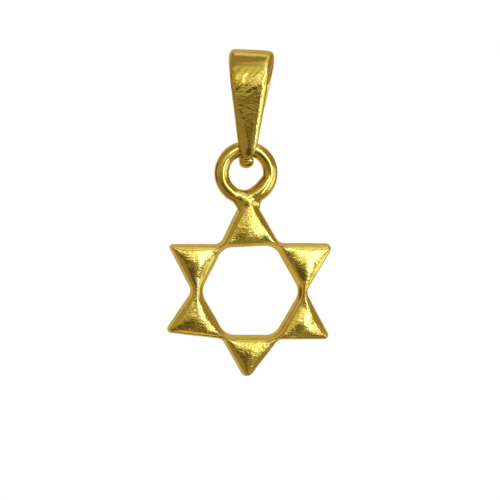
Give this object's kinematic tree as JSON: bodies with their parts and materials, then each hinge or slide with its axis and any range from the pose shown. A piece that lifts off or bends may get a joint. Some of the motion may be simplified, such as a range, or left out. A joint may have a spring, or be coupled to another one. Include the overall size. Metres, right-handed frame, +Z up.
{
  "type": "star of david pendant",
  "caption": "Small cast gold-coloured six-pointed star frame with softly pillowed triangular points and a hexagonal hole, hanging by its ring from a tapered folded strap bail.",
  "frame": {"origin": "inside top of the bail, where the chain bears", "axes": "+X to the right as the front is seen, +Y towards the back (the front faces -Y), +Z up"},
  "size_m": [0.0133, 0.004, 0.0265],
  "materials": {
    "polished_gold_bail": "polished gold-plated brass with fine wrinkles in the plating",
    "cast_gold_star": "cast gold-plated brass, hand-polished, with a soft wrinkled skin"
  },
  "bodies": {
    "bail": {"bail": "polished_gold_bail"},
    "star": {"star": "cast_gold_star"}
  },
  "joints": [
    {"name": "swing", "type": "hinge", "parent": "bail", "child": "star", "pos_m": [-0.00046, 0, -0.00724], "axis": [1, 0, 0], "range_deg": [-130, 130]}
  ]
}
